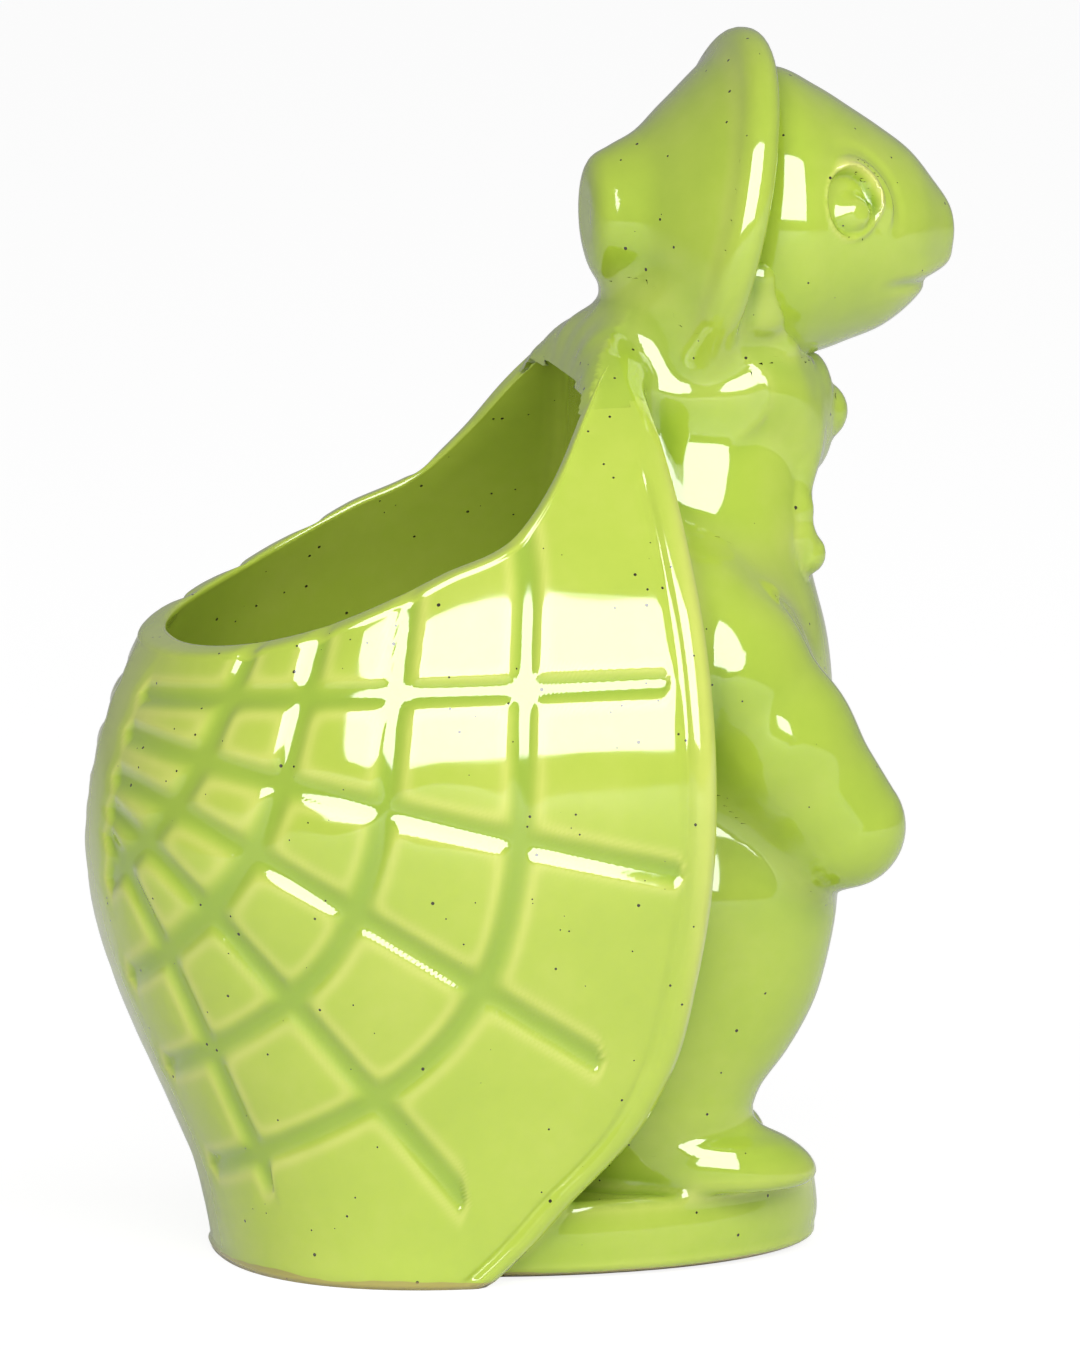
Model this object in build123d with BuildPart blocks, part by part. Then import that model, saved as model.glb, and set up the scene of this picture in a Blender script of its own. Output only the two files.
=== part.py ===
from build123d import *
import math
import os

# A glazed ceramic planter in the shape of an upright turtle in a bonnet.
# Millimetres, +Z up, the figure faces -Y, its right side is -X.
# The origin is on the resting plane, under the middle of the whole outline.
# A place is given as (ahead, height): ahead is measured forward, towards -Y.

# Shell, which is the open pot
shell_top = 133
shell_half_width = 50
shell_back = 63
shell_ahead = 18.3
wall = 4
pot_floor = 6
edge_radius = 2.6
foot_ring = 6
foot_recess = 1.6
shell_roundness = 2.3
shell_steps = 8
overrun = 12

# Plinth under the feet
plinth_height = 11
plinth_ahead = 42.5
plinth_half_width = 30
plinth_round = 3

# Body
torso_top = 121
torso_ahead = 44.8
torso_half_width = 28
neck_radius = 13.6
neck_ahead = 26.4
neck_length = 21

# Head, a swelling form turned about a level axis above the torso
head_rise = 26.6
head_axis = torso_top + head_rise
head_radius = 21
nose_ahead = 63
head_rear = 24
eye_radius = 2.7
eye_proud = 1.0
socket_half_width = 3.5
socket_half_height = 5
socket_depth = 2.2
lid_bead = 0.8
socket_floor_share = 0.7
socket_mouth_share = 1.3
mouth_width = 1.2
mouth_depth = 0.9
mouth_ahead = 51
mouth_drop = 6
mouth_rise = 20

# Bonnet
crown_radius = 24.2
crown_rise = 1.4
crown_axis = head_axis + crown_rise
brim_radius = 26
brim_thickness = 5
brim_ahead = 28
brim_lean = 12
brim_round_share = 0.45
ribbon_thickness = 3

# Arms, legs and feet of one side
arm_side = 27
arm_radius = 12
leg_side = 16.5
leg_top = 62
leg_half_width = 14.5
foot_side = 17.5
foot_half_length = 13.2
foot_half_width = 10.8
foot_ahead = 25.9
foot_top = 21.5

# Bow, tied where the neck meets the torso, with its knot half sunk in the neck
knot_radius = 5.2
knot_ahead = neck_ahead + neck_radius + knot_radius / 2
knot_height = torso_top
loop_length = 25
loop_half_height = 8.6
loop_half_depth = 5
loop_swing = 30
tail_width = 8
tail_thickness = 3.4
tail_top = knot_height - knot_radius
tail_length = 18.6
tail_side = 4.6
tail_round_share = 0.45

# Levels of the shell: shares of its top, half width, back and front
shell_level_shares = (
    (0.000, 0.700, 0.700, -0.630),
    (0.090, 0.764, 0.744, -0.030),
    (0.165, 0.820, 0.810, 0.450),
    (0.240, 0.872, 0.883, 0.730),
    (0.340, 0.936, 0.962, 0.885),
    (0.450, 0.990, 1.000, 0.980),
    (0.540, 1.000, 0.978, 1.000),
    (0.630, 0.972, 0.912, 0.990),
    (0.715, 0.892, 0.802, 0.962),
    (0.790, 0.770, 0.667, 0.918),
    (0.857, 0.636, 0.524, 0.869),
    (0.917, 0.490, 0.381, 0.798),
    (1.000, 0.190, 0.111, 0.634),
)

# Rim of the mouth from the back to the neck: shares of the shell's back and top
rim_shares = (
    (-1.120, 0.655),
    (-0.900, 0.668),
    (-0.600, 0.705),
    (-0.285, 0.772),
    (-0.100, 0.817),
    (-0.020, 0.861),
    (0.081, 0.935),
    (0.144, 0.980),
    (0.190, 1.020),
)

# Levels of the torso: shares of its top, middle, half depth and half width
torso_level_shares = (
    (0.091, 0.312, 0.312, 0.786),
    (0.207, 0.357, 0.335, 0.857),
    (0.314, 0.402, 0.424, 0.929),
    (0.413, 0.433, 0.504, 0.982),
    (0.512, 0.442, 0.540, 1.000),
    (0.628, 0.451, 0.549, 1.000),
    (0.727, 0.460, 0.533, 0.964),
    (0.802, 0.480, 0.480, 0.911),
    (0.876, 0.513, 0.402, 0.804),
    (0.934, 0.554, 0.344, 0.661),
    (0.975, 0.580, 0.312, 0.521),
)

# Outline of the head: shares of the nose's place and of the head's radius
head_outline_shares = (
    (0.381, 0.200),
    (0.397, 0.420),
    (0.444, 0.730),
    (0.510, 0.935),
    (0.594, 1.000),
    (0.679, 0.905),
    (0.748, 0.805),
    (0.822, 0.686),
    (0.892, 0.529),
    (0.948, 0.333),
    (0.985, 0.180),
    (1.000, 0.045),
)

# Eye: share of the way along the head's outline, and degrees above the side
eye_share = 0.548
eye_angle = 17

# Sections of the crown: shares of the brim's place, the crown's axis and radius,
# then the share of the brim's lean
crown_section_shares = (
    (0.343, 0.993, 0.289, 0.00),
    (0.410, 0.993, 0.360, 0.07),
    (0.536, 0.993, 0.438, 0.20),
    (0.625, 0.993, 0.537, 0.33),
    (0.698, 0.995, 0.711, 0.60),
    (0.820, 0.998, 0.901, 0.87),
    (0.937, 1.000, 1.000, 1.00),
)

# Path of an arm: shares of its side place, then ahead and height, then radius,
# the last three as shares of the torso's ahead, its top and the arm's radius
arm_path_shares = (
    (0.85, 0.402, 0.769, 1.00),
    (0.93, 0.540, 0.715, 0.94),
    (0.98, 0.710, 0.632, 0.85),
    (1.00, 0.920, 0.525, 0.733),
)
arm_end_angles = (35, 62, 82)

# Levels of a leg: shares of its top, torso ahead, depth and half width
leg_level_shares = (
    (0.339, 0.433, 0.212, 0.620),
    (0.400, 0.438, 0.247, 0.690),
    (0.484, 0.453, 0.324, 0.793),
    (0.600, 0.480, 0.388, 0.900),
    (0.710, 0.491, 0.422, 0.970),
    (0.855, 0.502, 0.436, 1.000),
    (1.000, 0.502, 0.402, 0.897),
)

# Levels of a foot: shares of its rise above the plinth, middle, length, width
foot_level_shares = (
    (0.00, 1.000, 0.970, 0.960),
    (0.18, 1.000, 1.000, 1.000),
    (0.50, 0.965, 0.890, 0.900),
    (0.80, 0.870, 0.670, 0.760),
    (1.00, 0.800, 0.530, 0.680),
)

# Sections of a bow loop: share of its length, half height and half depth
loop_section_shares = (
    (0.08, 0.38, 0.62),
    (0.30, 0.72, 0.92),
    (0.60, 1.00, 1.00),
    (0.82, 0.90, 0.80),
    (0.95, 0.56, 0.46),
    (1.00, 0.20, 0.16),
)

# Levels of a ribbon tail: share of its drop, width and forward flare
tail_level_shares = (
    (0.00, 0.62, 0.00),
    (0.30, 0.72, 0.02),
    (0.62, 0.85, 0.10),
    (0.86, 0.98, 0.42),
    (1.00, 1.00, 0.62),
)

# Corners of the bonnet's tie on the neck: ahead and height as shares of the
# neck's place and of the crown's axis
tie_corner_shares = ((0.92, 0.930), (0.80, 0.838), (1.36, 0.806), (1.46, 0.862), (1.22, 0.905))


def place(side, ahead, height):
    """A point from its side, its place forward of the origin and its height."""
    return Vector(side, -ahead, height)


def oval(side, ahead, height, half_width, half_depth):
    """A level ellipse, as one section of a loft."""
    plane = Plane(origin=place(side, ahead, height))
    with BuildSketch(plane) as level:
        Ellipse(half_width, half_depth)
    return level.sketch


def circle_across(centre, direction, radius):
    """A circle square to a direction, as one section of a loft."""
    plane = Plane(origin=centre, x_dir=(1, 0, 0), z_dir=direction)
    with BuildSketch(plane) as level:
        Circle(radius)
    return level.sketch


def shell_level(height, half_width, back, front, inset):
    """One D-shaped level of the shell, drawn in by an inset all round."""
    across = half_width - inset
    near = -(front - inset)
    reach = back - inset - near
    corner = edge_radius
    power = 2 / shell_roundness
    side_points = []
    for step in range(shell_steps + 1):
        angle = math.radians(180 * step / shell_steps)
        side = across * math.copysign(abs(math.cos(angle)) ** power, math.cos(angle))
        depth = near + corner + (reach - corner) * math.sin(angle) ** power
        side_points.append((side, depth))
    with BuildSketch(Plane.XY.offset(height)) as level:
        with BuildLine():
            back_curve = Spline(*side_points, tangents=((0, 1), (0, -1)))
            left_corner = RadiusArc((-across, near + corner), (-across + corner, near), -corner)
            front_line = Line((-across + corner, near), (across - corner, near))
            right_corner = RadiusArc((across - corner, near), (across, near + corner), -corner)
        make_face()
    return level.sketch


def shell_levels(inset, bottom, top):
    """All levels of the shell between two heights, drawn in by an inset."""
    levels = []
    for top_share, width_share, back_share, front_share in shell_level_shares:
        height = top_share * shell_top
        levels.append(
            shell_level(
                min(max(height, bottom), top),
                width_share * shell_half_width,
                back_share * shell_back,
                front_share * shell_ahead,
                inset,
            )
        )
    return levels


def cut_by(*others):
    """Cut the piece that is being built by the pieces that it is seated on."""
    for other in others:
        add(other.part, mode=Mode.SUBTRACT)


def finish(piece, name):
    """Name a finished piece and write it to its own file."""
    piece.part.label = name
    export_step(piece.part, "parts/" + name + ".step")
    print(name, "solids", len(piece.part.solids()), "volume", round(piece.part.volume))


def both_sides(piece, name):
    """Write the right piece, mirror it and write the left one."""
    finish(piece, name + "_right")
    with BuildPart() as left_piece:
        mirror(piece.part, about=Plane.YZ)
    finish(left_piece, name + "_left")


os.makedirs("parts", exist_ok=True)

# Shell: the outer form, the hollow inside the wall and the cut of the mouth
with BuildPart() as shell_form:
    loft(sections=shell_levels(0, 0, shell_top))

with BuildPart() as pot_hollow:
    loft(sections=shell_levels(wall, 0, shell_top))
    with Locations((0, 0, pot_floor)):
        Box(
            3 * shell_half_width,
            3 * shell_back,
            2 * pot_floor,
            align=(Align.CENTER, Align.CENTER, Align.MAX),
            mode=Mode.SUBTRACT,
        )

rim_points = [(-ahead * shell_back, height * shell_top) for ahead, height in rim_shares]
with BuildPart() as mouth_cut:
    with BuildSketch(Plane.YZ):
        with BuildLine():
            rim_curve = Spline(*rim_points)
            Polyline(
                rim_curve @ 1,
                (rim_points[-1][0], shell_top + overrun),
                (rim_points[0][0], shell_top + overrun),
                rim_curve @ 0,
            )
        make_face()
    extrude(amount=shell_half_width + overrun, both=True)

# The shallow recess under the pot, inside the ring that it stands on
bottom_level = shell_level_shares[0]
with BuildPart() as recess_cut:
    add(
        shell_level(
            0,
            bottom_level[1] * shell_half_width,
            bottom_level[2] * shell_back,
            bottom_level[3] * shell_ahead,
            foot_ring,
        )
    )
    extrude(amount=foot_recess)

with BuildPart() as shell_pot:
    add(shell_form.part)
    cut_by(pot_hollow, mouth_cut, recess_cut)
finish(shell_pot, "shell_pot")

# Plinth: an oval step that comes out from under the shell, rounded at its edges
with BuildPart() as base_plinth:
    with BuildSketch():
        Ellipse(plinth_half_width, plinth_ahead)
    extrude(amount=plinth_height)
    fillet(base_plinth.edges().filter_by(GeomType.ELLIPSE), plinth_round)
    with BuildSketch():
        Ellipse(
            plinth_half_width - plinth_round - foot_ring,
            plinth_ahead - plinth_round - foot_ring,
        )
    extrude(amount=foot_recess, mode=Mode.SUBTRACT)
    cut_by(shell_form)
finish(base_plinth, "base_plinth")

# Torso: ovals stacked from the plinth to the neck
torso_sections = []
for top_share, ahead_share, depth_share, width_share in torso_level_shares:
    torso_sections.append(
        oval(
            0,
            ahead_share * torso_ahead,
            top_share * torso_top,
            width_share * torso_half_width,
            depth_share * torso_ahead,
        )
    )
torso_sections.append(oval(0, neck_ahead, torso_top, neck_radius, neck_radius))
with BuildPart() as torso_form:
    loft(sections=torso_sections)

with BuildPart() as torso:
    add(torso_form.part)
    cut_by(shell_form)
finish(torso, "torso")

# Head: the outline turned about the level axis, with eye sockets and a mouth
head_points = [
    (-ahead * nose_ahead, head_axis + share * head_radius) for ahead, share in head_outline_shares
]
with BuildPart() as head_form:
    with BuildSketch(Plane.YZ):
        with BuildLine():
            head_curve = Spline(*head_points)
            Polyline(
                head_curve @ 1,
                (-nose_ahead, head_axis),
                (-head_rear, head_axis),
                head_curve @ 0,
            )
        make_face()
    revolve(axis=Axis((0, 0, head_axis), (0, 1, 0)))


def head_frame(share, angle):
    """A plane on the right of the head's surface, its normal pointing outward."""
    on_curve = head_curve @ share
    along = head_curve % share
    turn = math.radians(angle)
    radial = Vector(-math.cos(turn), 0, math.sin(turn))
    middle = Vector(0, on_curve.X, head_axis)
    surface_point = middle + radial * (on_curve.Y - head_axis)
    outward = (radial * -along.X + Vector(0, along.Y, 0)).normalized()
    return Plane(origin=surface_point, x_dir=(0, -1, 0), z_dir=outward)


# Eye: a tapered oval socket, a ball that stands in it and a lid round its front
eye_plane = head_frame(eye_share, eye_angle)
ball_place = eye_plane.offset(eye_proud - eye_radius)
with BuildPart() as eye_socket:
    with BuildSketch(eye_plane.offset(-socket_depth)):
        Ellipse(socket_half_width * socket_floor_share, socket_half_height * socket_floor_share)
    with BuildSketch(eye_plane.offset(socket_depth)):
        Ellipse(socket_half_width * socket_mouth_share, socket_half_height * socket_mouth_share)
    loft()

# Mouth: a shallow groove that rises from the front of the muzzle to its corners
bed_points = [(along, height - mouth_depth) for along, height in head_points[:-1]]
with BuildPart() as mouth_bed:
    with BuildSketch(Plane.YZ):
        with BuildLine():
            bed_curve = Spline(*bed_points, (mouth_depth - nose_ahead, head_points[-1][1]))
            Polyline(
                bed_curve @ 1,
                (mouth_depth - nose_ahead, head_axis),
                (-head_rear, head_axis),
                bed_curve @ 0,
            )
        make_face()
    revolve(axis=Axis((0, 0, head_axis), (0, 1, 0)))

mouth_tilt = math.radians(mouth_rise)
with BuildPart() as mouth_groove:
    with Locations(
        Plane(
            origin=place(0, mouth_ahead, head_axis - mouth_drop),
            x_dir=(1, 0, 0),
            z_dir=(0, -math.sin(mouth_tilt), math.cos(mouth_tilt)),
        )
    ):
        Box(
            2 * head_radius,
            nose_ahead - mouth_ahead,
            mouth_width,
            align=(Align.CENTER, Align.MAX, Align.CENTER),
        )
    cut_by(mouth_bed)

with BuildPart() as head:
    add(head_form.part)
    cut_by(eye_socket, mouth_groove)
    mirror(eye_socket.part, about=Plane.YZ, mode=Mode.SUBTRACT)
finish(head, "head")

with BuildPart() as eye:
    with Locations(ball_place):
        Sphere(eye_radius)
    cut_by(head)
both_sides(eye, "eye")

with BuildPart() as eyelid:
    with BuildSketch(eye_plane):
        Ellipse(socket_half_width + 2 * lid_bead, socket_half_height + 2 * lid_bead)
        Ellipse(socket_half_width, socket_half_height, mode=Mode.SUBTRACT)
        with Locations((0, -socket_half_height)):
            Rectangle(4 * socket_half_width, 2 * socket_half_height, mode=Mode.SUBTRACT)
    extrude(amount=lid_bead, both=True)
    cut_by(head)
both_sides(eyelid, "eyelid")

# Bonnet crown: circles that lean forward as they open towards the brim
lean_turn = math.radians(brim_lean)
crown_sections = []
for ahead_share, axis_share, radius_share, lean_share in crown_section_shares:
    lean = lean_turn * lean_share
    crown_sections.append(
        circle_across(
            place(0, ahead_share * brim_ahead, axis_share * crown_axis),
            (0, -math.cos(lean), -math.sin(lean)),
            radius_share * crown_radius,
        )
    )
with BuildPart() as bonnet_crown:
    loft(sections=crown_sections)
    cut_by(head_form, shell_form)
finish(bonnet_crown, "bonnet_crown")

# Brim: a round-edged ring about the head, leaning like the crown's mouth
brim_plane = Plane(
    origin=place(0, brim_ahead, crown_axis),
    x_dir=(1, 0, 0),
    z_dir=(0, -math.cos(lean_turn), -math.sin(lean_turn)),
)
with BuildPart() as bonnet_brim:
    with BuildSketch(brim_plane.offset(-brim_thickness / 2)):
        Circle(brim_radius)
    extrude(amount=brim_thickness)
    fillet(bonnet_brim.edges().filter_by(GeomType.CIRCLE), brim_round_share * brim_thickness)
    cut_by(head_form, bonnet_crown, shell_form)
finish(bonnet_brim, "bonnet_brim")

# Neck: a short column between the torso and the bonnet
with BuildPart() as neck_form:
    with Locations(place(0, neck_ahead, torso_top)):
        Cylinder(neck_radius, neck_length, align=(Align.CENTER, Align.CENTER, Align.MIN))
with BuildPart() as neck:
    add(neck_form.part)
    cut_by(head_form, bonnet_crown, bonnet_brim, shell_form)
finish(neck, "neck")

# Legs and feet, the right ones first
leg_sections = []
for top_share, ahead_share, depth_share, width_share in leg_level_shares:
    leg_sections.append(
        oval(
            -leg_side,
            ahead_share * torso_ahead,
            top_share * leg_top,
            width_share * leg_half_width,
            depth_share * torso_ahead,
        )
    )
with BuildPart() as leg_form:
    loft(sections=leg_sections)

foot_sections = []
for rise_share, ahead_share, length_share, width_share in foot_level_shares:
    foot_sections.append(
        oval(
            -foot_side,
            ahead_share * foot_ahead,
            plinth_height + rise_share * (foot_top - plinth_height),
            width_share * foot_half_width,
            length_share * foot_half_length,
        )
    )
with BuildPart() as leg:
    add(leg_form.part)
    cut_by(torso_form, shell_form)
both_sides(leg, "leg")

with BuildPart() as foot:
    loft(sections=foot_sections)
    cut_by(leg_form, torso_form, shell_form)
both_sides(foot, "foot")

# Arm: circles along its path, closed by a rounded hand
arm_stations = []
for side_share, ahead_share, height_share, radius_share in arm_path_shares:
    centre = place(
        -side_share * arm_side, ahead_share * torso_ahead, height_share * torso_top
    )
    arm_stations.append((centre, radius_share * arm_radius))
arm_directions = []
for index in range(len(arm_stations)):
    before = arm_stations[max(index - 1, 0)][0]
    after = arm_stations[min(index + 1, len(arm_stations) - 1)][0]
    arm_directions.append((after - before).normalized())
arm_sections = []
for (centre, radius), direction in zip(arm_stations, arm_directions):
    arm_sections.append(circle_across(centre, direction, radius))
hand_centre, hand_radius = arm_stations[-1]
for angle in arm_end_angles:
    turn = math.radians(angle)
    arm_sections.append(
        circle_across(
            hand_centre + arm_directions[-1] * (hand_radius * math.sin(turn)),
            arm_directions[-1],
            hand_radius * math.cos(turn),
        )
    )
with BuildPart() as arm_form:
    loft(sections=arm_sections)
with BuildPart() as arm:
    add(arm_form.part)
    cut_by(torso_form, leg_form, shell_form)
both_sides(arm, "arm")

# Bow: a knot under the chin, a full loop and a hanging tail on each side
with BuildPart() as knot_form:
    with Locations(place(0, knot_ahead, knot_height)):
        Sphere(knot_radius)
with BuildPart() as bow_knot:
    add(knot_form.part)
    cut_by(head_form, neck_form, torso_form)
finish(bow_knot, "bow_knot")

swing = math.radians(loop_swing)
loop_direction = Vector(-math.cos(swing), math.sin(swing), 0)
loop_start = place(0, knot_ahead, knot_height)
loop_sections = []
for length_share, height_share, depth_share in loop_section_shares:
    centre = loop_start + loop_direction * (length_share * loop_length)
    plane = Plane(origin=centre, x_dir=(0, 0, 1), z_dir=loop_direction)
    with BuildSketch(plane) as loop_section:
        Ellipse(height_share * loop_half_height, depth_share * loop_half_depth)
    loop_sections.append(loop_section.sketch)
with BuildPart() as bow_loop:
    loft(sections=loop_sections)
    cut_by(knot_form, neck_form, torso_form, head_form, arm_form, bonnet_brim)
both_sides(bow_loop, "bow_loop")

tail_sections = []
for drop_share, width_share, flare_share in tail_level_shares:
    tail_ahead = knot_ahead + flare_share * tail_thickness
    tail_height = tail_top - drop_share * tail_length
    with BuildSketch(Plane(origin=place(-tail_side, tail_ahead, tail_height))) as tail_level:
        RectangleRounded(
            width_share * tail_width, tail_thickness, tail_round_share * tail_thickness
        )
    tail_sections.append(tail_level.sketch)
with BuildPart() as ribbon_tail:
    loft(sections=list(reversed(tail_sections)))
    cut_by(knot_form, torso_form, arm_form)
both_sides(ribbon_tail, "ribbon_tail")

# Ties: the bonnet's ribbon on each side of the neck, from the brim to the bow
tie_points = [(ahead * neck_ahead, height * crown_axis) for ahead, height in tie_corner_shares]
with BuildPart() as bonnet_ribbon:
    with BuildSketch(Plane.YZ):
        with BuildLine():
            Polyline(*[(-ahead, height) for ahead, height in tie_points], close=True)
        make_face()
    extrude(amount=-(neck_radius + 2 * ribbon_thickness))
    with Locations(place(0, neck_ahead, torso_top)):
        Cylinder(neck_radius + ribbon_thickness, 2 * neck_length, mode=Mode.INTERSECT)
    cut_by(neck_form, head_form, bonnet_crown, bonnet_brim, torso_form, bow_loop, knot_form)
both_sides(bonnet_ribbon, "bonnet_ribbon")
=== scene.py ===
"""Dresses the glazed turtle planter: one blended body, a grooved shell and its glaze."""

import logging
import math
from abc import ABC, abstractmethod
from dataclasses import dataclass, field
from enum import Enum
from functools import cached_property

import bpy
import numpy as np
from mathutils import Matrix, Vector


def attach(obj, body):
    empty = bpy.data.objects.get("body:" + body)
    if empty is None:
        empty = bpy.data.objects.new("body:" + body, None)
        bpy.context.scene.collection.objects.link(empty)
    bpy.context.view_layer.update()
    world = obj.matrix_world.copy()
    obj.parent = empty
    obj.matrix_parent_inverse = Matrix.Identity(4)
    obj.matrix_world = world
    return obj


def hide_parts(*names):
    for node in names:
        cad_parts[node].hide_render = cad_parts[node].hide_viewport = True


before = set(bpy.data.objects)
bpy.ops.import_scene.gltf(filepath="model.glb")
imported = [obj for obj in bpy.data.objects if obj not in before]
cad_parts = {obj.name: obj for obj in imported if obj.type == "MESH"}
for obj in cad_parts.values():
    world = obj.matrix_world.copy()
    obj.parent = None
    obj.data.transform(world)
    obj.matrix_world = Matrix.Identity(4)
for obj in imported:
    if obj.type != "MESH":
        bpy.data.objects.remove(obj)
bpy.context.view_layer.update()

log = logging.getLogger("planter")

MM = 0.001
"""Metres in a millimetre. The forms below are written in millimetres."""

Array = np.ndarray
Pair = tuple[float, float]
Triple = tuple[float, float, float]
Rows = tuple[tuple[float, ...], ...]
Tree = bpy.types.NodeTree
Socket = bpy.types.NodeSocket


class Slot(Enum):
    """The record's material slots."""

    GLAZE = "lime_glaze"


# Curves and forms


@dataclass(frozen=True)
class SmoothTable:
    """A smooth curve through rows of numbers, read by the first number of each row."""

    rows: Rows

    def __call__(self, at: Array) -> Array:
        """Read the curve.

        Args:
            at: values of the first column, which increases down the rows.

        Returns:
            One row of the other columns for each value, on a last axis.
        """
        table = np.asarray(self.rows, dtype=float)
        knots, values = table[:, 0], table[:, 1:]
        steps = np.diff(knots)
        slopes = np.diff(values, axis=0) / steps[:, None]
        tangents = np.empty_like(values)
        tangents[0], tangents[-1] = slopes[0], slopes[-1]
        weights = steps[1:] / (steps[:-1] + steps[1:])
        tangents[1:-1] = slopes[:-1] * weights[:, None] + slopes[1:] * (1 - weights)[:, None]
        at = np.clip(at, knots[0], knots[-1])
        index = np.clip(np.searchsorted(knots, at, side="right") - 1, 0, len(steps) - 1)
        width = steps[index]
        share = ((at - knots[index]) / width)[..., None]
        width = width[..., None]
        first = (1 + 2 * share) * (1 - share) ** 2 * values[index]
        first += share * (1 - share) ** 2 * width * tangents[index]
        second = share**2 * (3 - 2 * share) * values[index + 1]
        second += share**2 * (share - 1) * width * tangents[index + 1]
        return first + second


@dataclass(frozen=True)
class Places:
    """Many places on the figure: off its middle plane, forward, and up."""

    side: Array
    ahead: Array
    height: Array

    @staticmethod
    def of(points: Array) -> "Places":
        """Read places from rows of x, y, z, where the figure faces -Y."""
        return Places(np.abs(points[..., 0]), -points[..., 1], points[..., 2])

    def minus(self, side: float, ahead: float, height: float) -> Array:
        """Give each place as seen from one place, on a last axis."""
        parts = np.broadcast_arrays(self.side - side, self.ahead - ahead, self.height - height)
        return np.stack(parts, axis=-1)


class Form(ABC):
    """A clay form, given by the distance from its skin, negative inside."""

    @abstractmethod
    def distance(self, at: Places) -> Array:
        """Give the distance of each place from the skin, in millimetres."""


def ellipse_distance(across: Array, along: Array, half_across: Array, half_along: Array) -> Array:
    """Give about the distance from an ellipse, negative inside it."""
    scaled = np.hypot(across / half_across, along / half_along)
    slope = np.hypot(across / half_across**2, along / half_along**2)
    return scaled * (scaled - 1) / np.maximum(slope, 1e-6)


def blend(first: Array, second: Array, reach: float) -> Array:
    """Join two forms with a soft fillet of the given reach."""
    near = np.maximum(reach - np.abs(first - second), 0) / reach
    return np.minimum(first, second) - near**2 * reach / 4


def smooth_step(low: float, high: float, at: Array) -> Array:
    """Rise smoothly from 0 at low to 1 at high."""
    share = np.clip((at - low) / (high - low), 0, 1)
    return share * share * (3 - 2 * share)


def ridge(off: Array, width: float) -> Array:
    """Give a soft ridge, 1 on a line, by the way off that line."""
    return np.exp(-((off / width) ** 2))


@dataclass(frozen=True)
class OvalStack(Form):
    """Level ovals stacked on each other: height, place ahead, half depth, half width."""

    levels: Rows
    side: float = 0.0
    edge: float = 1.5

    def distance(self, at: Places) -> Array:
        """Give the distance of each place from the skin, in millimetres."""
        ahead, depth, width = np.moveaxis(SmoothTable(self.levels)(at.height), -1, 0)
        wall = ellipse_distance(at.side - self.side, at.ahead - ahead, width, depth)
        low, high = self.levels[0][0], self.levels[-1][0]
        ends = np.maximum(low - at.height, at.height - high)
        return -blend(-wall, -ends, self.edge)


@dataclass(frozen=True)
class Lathe(Form):
    """An outline turned about a level axis, with a lean that grows along it."""

    outline: Rows
    axis: float
    leans: Rows = ((0.0, 0.0), (1.0, 0.0))
    spacing: float = 0.3
    margin: float = 14.0

    def distance(self, at: Places) -> Array:
        """Give the distance of each place from the skin, in millimetres."""
        rise = at.height - self.axis
        lean = np.tan(np.radians(SmoothTable(self.leans)(at.ahead)[..., 0]))
        along = at.ahead - rise * lean
        reach = np.hypot(at.side, rise * np.sqrt(1 + lean**2))
        table = self.table
        x = np.clip((along - self.first) / self.spacing, 0, table.shape[0] - 1.001)
        y = np.clip(reach / self.spacing, 0, table.shape[1] - 1.001)
        i, j = x.astype(int), y.astype(int)
        u, v = x - i, y - j
        low = table[i, j] * (1 - u) + table[i + 1, j] * u
        high = table[i, j + 1] * (1 - u) + table[i + 1, j + 1] * u
        return low * (1 - v) + high * v

    @property
    def first(self) -> float:
        """Give the place ahead at which the table of distances starts."""
        return self.outline[0][0] - self.margin

    @cached_property
    def table(self) -> Array:
        """Measure the distance from the outline on a flat grid, negative inside."""
        last = self.outline[-1][0] + self.margin
        top = max(row[1] for row in self.outline) + self.margin
        columns = np.arange(self.first, last, self.spacing)
        lines = np.arange(0, top, self.spacing)
        knots = np.linspace(0, 1, len(self.outline))
        rows = tuple((knot, *row) for knot, row in zip(knots, self.outline))
        curve = SmoothTable(rows)(np.linspace(0, 1, 8 * len(self.outline)))
        ring = np.vstack([[curve[0][0], 0], curve, [curve[-1][0], 0]])
        spots = np.stack(np.meshgrid(columns, lines, indexing="ij"), axis=-1)
        best = np.full(spots.shape[:2], np.inf)
        for start, end in zip(ring[:-1], ring[1:]):
            run = end - start
            share = ((spots - start) @ run) / max(run @ run, 1e-9)
            gap = spots - start - np.clip(share, 0, 1)[..., None] * run
            best = np.minimum(best, np.hypot(gap[..., 0], gap[..., 1]))
        order = np.argsort(curve[:, 0])
        radius = np.interp(columns, curve[order, 0], curve[order, 1], left=-1, right=-1)
        inside = lines[None, :] < radius[:, None]
        return np.where(inside, -best, best)


@dataclass(frozen=True)
class Disc(Form):
    """A round-edged disc that leans forward at its top."""

    ahead: float
    height: float
    radius: float
    thickness: float
    lean: float
    edge: float

    def distance(self, at: Places) -> Array:
        """Give the distance of each place from the skin, in millimetres."""
        turn = math.radians(self.lean)
        forward, rise = at.ahead - self.ahead, at.height - self.height
        across = forward * math.cos(turn) - rise * math.sin(turn)
        up = forward * math.sin(turn) + rise * math.cos(turn)
        out = np.hypot(at.side, up) - self.radius + self.edge
        flat = np.abs(across) - self.thickness / 2 + self.edge
        corner = np.hypot(np.maximum(out, 0), np.maximum(flat, 0))
        return corner + np.minimum(np.maximum(out, flat), 0) - self.edge


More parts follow.
